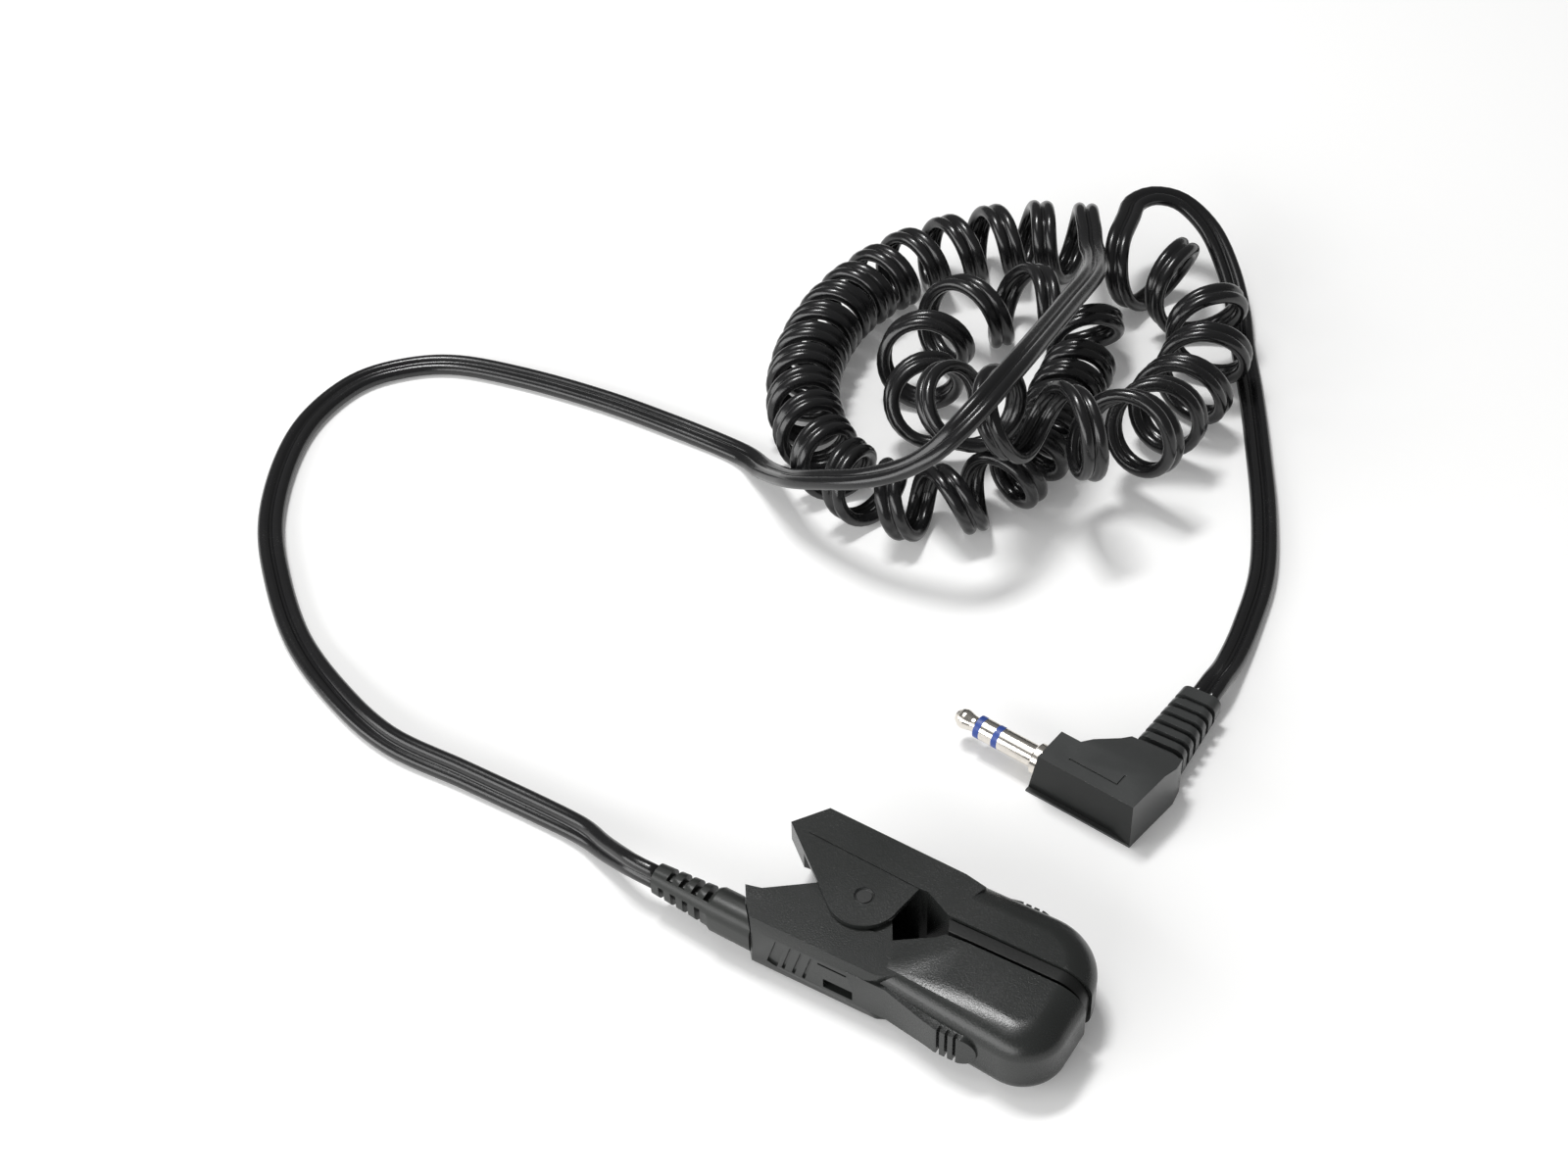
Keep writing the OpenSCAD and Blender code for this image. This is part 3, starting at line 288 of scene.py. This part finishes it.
# Middle line of the curly stretch as x, y, z, curl radius, number of curls to the next point
coilLine = [(-43, 148, 7.8, 6.4, 1), (-32, 147, 7.8, 6.4, 1), (-22, 139, 7.8, 6.4, 1.25),
    (-18, 127, 7.8, 6.4, 1.25), (-18, 114, 9, 6.4, 1.25), (-17, 101, 14, 6.4, 1), (-22, 90, 20, 6.2, 1),
    (-32, 86, 22.5, 6.2, 1), (-43, 90, 17, 6.2, 1), (-53, 97, 8.5, 6.2, 1), (-60, 107, 7.6, 6.2, 1),
    (-60, 119, 7.6, 6.2, 1), (-53, 129, 7.4, 6, 0.75), (-42, 131, 7, 5.6, 1), (-37, 121, 6.4, 5, 2),
    (-35, 110, 6.4, 5, 2), (-33, 99, 6.4, 5, 1.5), (-34, 88, 6.4, 5, 1), (-40, 79, 6.4, 5, 1),
    (-48, 75, 6.5, 5.2, 1.25), (-58, 77, 6.5, 5.2, 1.5), (-67, 83, 6.5, 5.2, 1.75), (-74, 92, 6.5, 5.2, 2),
    (-78, 103, 6.5, 5.2, 2), (-79, 115, 6.5, 5.2, 2), (-76, 127, 6.8, 5.4, 1.5), (-70, 137, 7, 5.6, 1.5),
    (-61, 145, 7.4, 6, 1.5), (-50, 149, 7.8, 6.4, 0)]


def smoothLine(points, place):
    # Cubic through the points: each stretch is bent by the points before and after it; ends are mirrored.
    # place runs 0, 1, 2... from point to point. Gives the value and the slope per stretch.
    p = np.array(points, float)
    p = np.vstack([2 * p[0] - p[1], p, 2 * p[-1] - p[-2]])
    i = np.clip(np.floor(place).astype(int), 0, len(points) - 2)
    u = (place - i)[:, None]
    before, start, end, after = p[i], p[i + 1], p[i + 2], p[i + 3]
    straight = end - before
    bend = 2 * before - 5 * start + 4 * end - after
    sway = 3 * start - before - 3 * end + after
    value = 0.5 * (2 * start + straight * u + bend * u**2 + sway * u**3)
    slope = 0.5 * (straight + 2 * bend * u + 3 * sway * u**2)
    return value, slope


def evenly(points, step):
    # The same line, sampled so that the samples lie step apart, with the place of each sample
    samplesPerPoint = 60
    place = np.linspace(0, len(points) - 1, samplesPerPoint * len(points))
    line = smoothLine(points, place)[0]
    run = np.concatenate([[0], np.cumsum(np.linalg.norm(np.diff(line, axis=0), axis=1))])
    want = np.linspace(0, run[-1], max(2, round(run[-1] / step)) + 1)
    return np.stack([np.interp(want, run, line[:, k]) for k in range(3)], 1), np.interp(want, run, place)


def curls(line, perCurl):
    # Helix round the middle line: centre plus radius times (up cos + side sin), the angle in curls
    counts = np.array([row[4] for row in line[:-1]], float)
    turns = np.linspace(0, counts.sum(), int(round(counts.sum() * perCurl)) + 1)
    starts = np.concatenate([[0], np.cumsum(counts)])
    i = np.clip(np.searchsorted(starts, turns, side="right") - 1, 0, len(counts) - 1)
    value, slope = smoothLine([row[:4] for row in line], i + (turns - starts[i]) / counts[i])
    t = unit(slope[:, :3])
    side = unit(np.cross(t, [0, 0, 1.0]))
    up = np.cross(side, t)
    angle = 2 * math.pi * turns[:, None]
    radial = up * np.cos(angle) + side * np.sin(angle)
    radius = np.clip(value[:, 3:4], *cord["curlRadiiMm"])
    return value[:, :3] + radius * radial, radial


def figureEight(lobePoints, width, thick, neck):
    # Outline of two round halves side by side, each an arc as far as openDeg either way of its outer side,
    # and between them the floor of the groove at half height neck
    openDeg = 140
    r, c = thick / 2, (width - thick) / 2
    angle = np.radians(np.linspace(-openDeg, openDeg, lobePoints))
    right = np.stack([c + r * np.cos(angle), r * np.sin(angle)], 1)
    return np.vstack([right, [[0, neck]], -right, [[0, -neck]]])


def newPiece(name, vertices, faces, material, smooth=True):
    mesh = bpy.data.meshes.new(name)
    mesh.from_pydata(vertices.tolist(), [], faces)
    mesh.polygons.foreach_set("use_smooth", np.full(len(mesh.polygons), smooth))
    mesh.materials.append(material)
    mesh.update()
    made = bpy.data.objects.new(name, mesh)
    bpy.context.scene.collection.objects.link(made)
    return made


def tubeFaces(rings, sides):
    # Quads between neighbouring rings, and one face at each end
    i, j = np.meshgrid(np.arange(rings - 1), np.arange(sides), indexing="ij")
    a, b = i * sides + j, i * sides + (j + 1) % sides
    quads = np.stack([a, b, b + sides, a + sides], -1).reshape(-1, 4).tolist()
    return quads + [list(range(sides))[::-1], list(range((rings - 1) * sides, rings * sides))]


def between(start, end):
    # The two points that divide the way from start to end in three
    return np.linspace(start, end, 4)[1:-1]


def makeCord():
    # The section is carried along the route; it twists from on edge at the strain relief to lying flat
    clip, place = evenly(clipRoute, cord["stepMm"])
    plug, _ = evenly(plugRoute, cord["stepMm"])
    coil, radial = curls(coilLine, cord["stepsPerCurl"])
    outer = between(cord["coilOut"], coil[-1])
    inner = between(coil[0], cord["coilIn"])
    line = np.vstack([clip, outer, coil[::-1], inner, plug[::-1]])
    d = unit(np.gradient(line, axis=0))
    thick = np.broadcast_to([0, 0, 1.0], line.shape).copy()
    first = len(clip) + len(outer)
    thick[first:first + len(coil)] = radial[::-1]
    thick = unit(thick - d * (thick * d).sum(1, keepdims=True))
    wide = np.cross(d, thick)
    tilt = np.zeros(len(line))
    tilt[:len(clip)] = np.radians(np.interp(place, range(len(clipTilt) + 1), clipTilt + [0]))
    c, s = np.cos(tilt)[:, None], np.sin(tilt)[:, None]
    w, t = wide * c + thick * s, thick * c - wide * s
    outline = figureEight(cord["lobePoints"], cord["widthMm"], cord["thickMm"], cord["neckMm"])
    points = line[:, None] + w[:, None] * outline[None, :, :1] + t[:, None] * outline[None, :, 1:]
    faces = tubeFaces(len(line), len(outline))
    piece = newPiece("cord", points.reshape(-1, 3) * mm, faces, paints["cord"])
    length = np.linalg.norm(np.diff(line, axis=0), axis=1).sum()
    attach(piece, "lower_arm")
    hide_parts("clip_lead", "curly_cord", "plug_lead")
    print("cord length mm", round(float(length), 1), "rings", len(line))
    return piece, line, length


cordPiece, cordLine, cordLength = makeCord()
print("cord made")


# Clip, hinge and plug: the width in mm by which each piece's edges are rounded, and each piece's finish
edges = {
    "lower_shell": 0.16, "upper_shell": 0.16, "upper_cover": 0.1, "lower_cover": 0.06,
    "clip_boot": 0.12, "plug_body": 0.22, "plug_relief": 0.1, "hinge_pin": 0.14,
}
looks = {
    "lower_shell": "shell", "upper_shell": "shell", "upper_cover": "jawPlate", "lower_cover": "jawPlate",
    "clip_boot": "relief", "plug_body": "plug", "plug_relief": "plug", "hinge_pin": "pin",
    "lower_lens": "window", "upper_lens": "window", "phototransistor": "receiver",
    "infrared_led": "emitter", "lower_board": "board", "upper_board": "board",
    "torsion_spring": "steel", "link_wires": "wire",
    "clip_conductors": "copper", "plug_conductors": "copper", "plug_sleeve": "nickel",
    "plug_ring": "nickel", "plug_tip": "nickel", "ring_insulator": "blue", "tip_insulator": "blue",
    "plug_tags": "brass", "tip_rod": "brass",
}
easing = {"joinMm": 0.002, "flatDeg": 0.3, "sharpDeg": 28, "segments": 2}
# Which faces of the plug get the painted shade: turned across the contacts and larger than leastMm2
recess = {"across": (-0.124, -0.992, 0), "within": 0.97, "leastMm2": 15}
bodyOf = {node: body for body, nodes in frame["record"]["behaviour"]["bodies"].items() for node in nodes}


def eased(node, width):
    # A copy of the solid with its flat faces joined and its edges rounded by width, in mm
    mesh = frame["nodes"][node].data.copy()
    b = bmesh.new()
    b.from_mesh(mesh)
    bmesh.ops.remove_doubles(b, verts=b.verts, dist=easing["joinMm"] * mm)
    bmesh.ops.dissolve_limit(b, angle_limit=math.radians(easing["flatDeg"]), verts=b.verts, edges=b.edges)
    b.to_mesh(mesh)
    b.free()
    mesh.materials.clear()
    mesh.materials.append(paints[looks[node]])
    mesh.polygons.foreach_set("use_smooth", np.ones(len(mesh.polygons), bool))
    made = bpy.data.objects.new("eased_" + node, mesh)
    bpy.context.scene.collection.objects.link(made)
    bevel = made.modifiers.new("edges", "BEVEL")
    bevel.width = width * mm
    bevel.segments = easing["segments"]
    bevel.limit_method = "ANGLE"
    bevel.angle_limit = math.radians(easing["sharpDeg"])
    bevel.use_clamp_overlap = True
    weighted = made.modifiers.new("normals", "WEIGHTED_NORMAL")
    weighted.weight = 100    # large faces stay flat
    weighted.keep_sharp = False
    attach(made, bodyOf[node])
    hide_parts(node)
    return made


def paintShadedSide(body):
    # Painted shade on the plug's long side: its large faces that are turned across the contacts get a
    # darker, less reflective vinyl
    body.data.materials.append(paints["recess"])
    across = Vector(recess["across"])
    for face in body.data.polygons:
        if face.normal.dot(across) > recess["within"] and face.area > recess["leastMm2"] * mm * mm:
            face.material_index = 1


def bentWires():
    # The wires to the upper board: a copy of the CAD wires in their own finish, with their placement baked
    # into the mesh
    mesh = frame["nodes"]["link_wires"].data.copy()
    mesh.materials.clear()
    mesh.materials.append(paints[looks["link_wires"]])
    wires = bpy.data.objects.new("bent_link_wires", mesh)
    bpy.context.scene.collection.objects.link(wires)
    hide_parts("link_wires")
    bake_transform(wires)
    return wires


def painted(node):
    # The CAD solid itself in its own finish
    solid = frame["nodes"][node]
    solid.data.materials.clear()
    solid.data.materials.append(paints[looks[node]])
    return solid


made = {"link_wires": bentWires()}
for node in looks:
    if node in edges:
        made[node] = eased(node, edges[node])
    elif node not in made:
        made[node] = painted(node)
# painted shade on the plug's long side
paintShadedSide(made["plug_body"])
print("clip and plug finished")


# Floor and light
stage = {
    "floorMm": 6000,
    "floorColour": (0.93, 0.93, 0.925, 1),
    "floorWhite": 0.12,      # added for the eye and for reflections, so that the open floor is white
    "farFloorM": (0.4, 0.5),    # where the floor starts to turn wholly white, and over what distance
    "sky": 0.18,
}
lamps = {
    "overhead": {"placeMm": (-330, -60, 900), "aimMm": (-40, 60, 0), "sizeMm": (560, 400), "watts": 1.35},
    "key": {"placeMm": (-290, 160, 830), "aimMm": (0, 0, 0), "sizeMm": (250, 110), "watts": 4},
    "front": {"placeMm": (-330, -720, 300), "aimMm": (-20, 20, 0), "sizeMm": (1400, 440), "watts": 8.4},
}


def makeFloor():
    side = stage["floorMm"] * mm / 2
    corners = np.array([(-side, -side, 0), (side, -side, 0), (side, side, 0), (-side, side, 0)])
    matt = {"Roughness": 0.9, "Specular IOR Level": 0.1}
    f = Finish("paperFloor", {"Base Color": stage["floorColour"], "Emission Strength": 1.0, **matt})
    seen = f.node("ShaderNodeLightPath", output="Is Camera Ray")
    mirrored = f.node("ShaderNodeLightPath", output="Is Glossy Ray")
    through = f.node("ShaderNodeLightPath", output="Is Transmission Ray")
    away = f.node("ShaderNodeVectorMath", {"operation": "LENGTH"}, {0: f.place()}, "Value")
    glow = f.mix(away.above(*stage["farFloorM"]), grey(stage["floorWhite"]), grey(1.0))
    f.feed("Emission Color", f.mix(seen + mirrored + through, grey(0.0), glow))
    floor = newPiece("floor", corners, [[0, 1, 2, 3]], f.material, smooth=False)


def softLight(name, placeMm, aimMm, sizeMm, watts):
    data = bpy.data.lights.new(name, "AREA")
    data.shape = "RECTANGLE"
    data.size, data.size_y = sizeMm[0] * mm, sizeMm[1] * mm
    data.energy = watts
    lamp = bpy.data.objects.new(name, data)
    place, aim = Vector(placeMm) * mm, Vector(aimMm) * mm
    lamp.location = place
    lamp.rotation_euler = (aim - place).to_track_quat("-Z", "Y").to_euler()
    bpy.context.scene.collection.objects.link(lamp)


makeFloor()
for name, lamp in lamps.items():
    softLight(name, **lamp)
world = bpy.data.worlds.new("studio")
world.use_nodes = True
world.node_tree.nodes["Background"].inputs["Color"].default_value = (1, 1, 1, 1)
world.node_tree.nodes["Background"].inputs["Strength"].default_value = stage["sky"]
bpy.context.scene.world = world
bpy.context.scene.view_settings.view_transform = "Standard"
print("floor and light set")

bpy.context.view_layer.update()
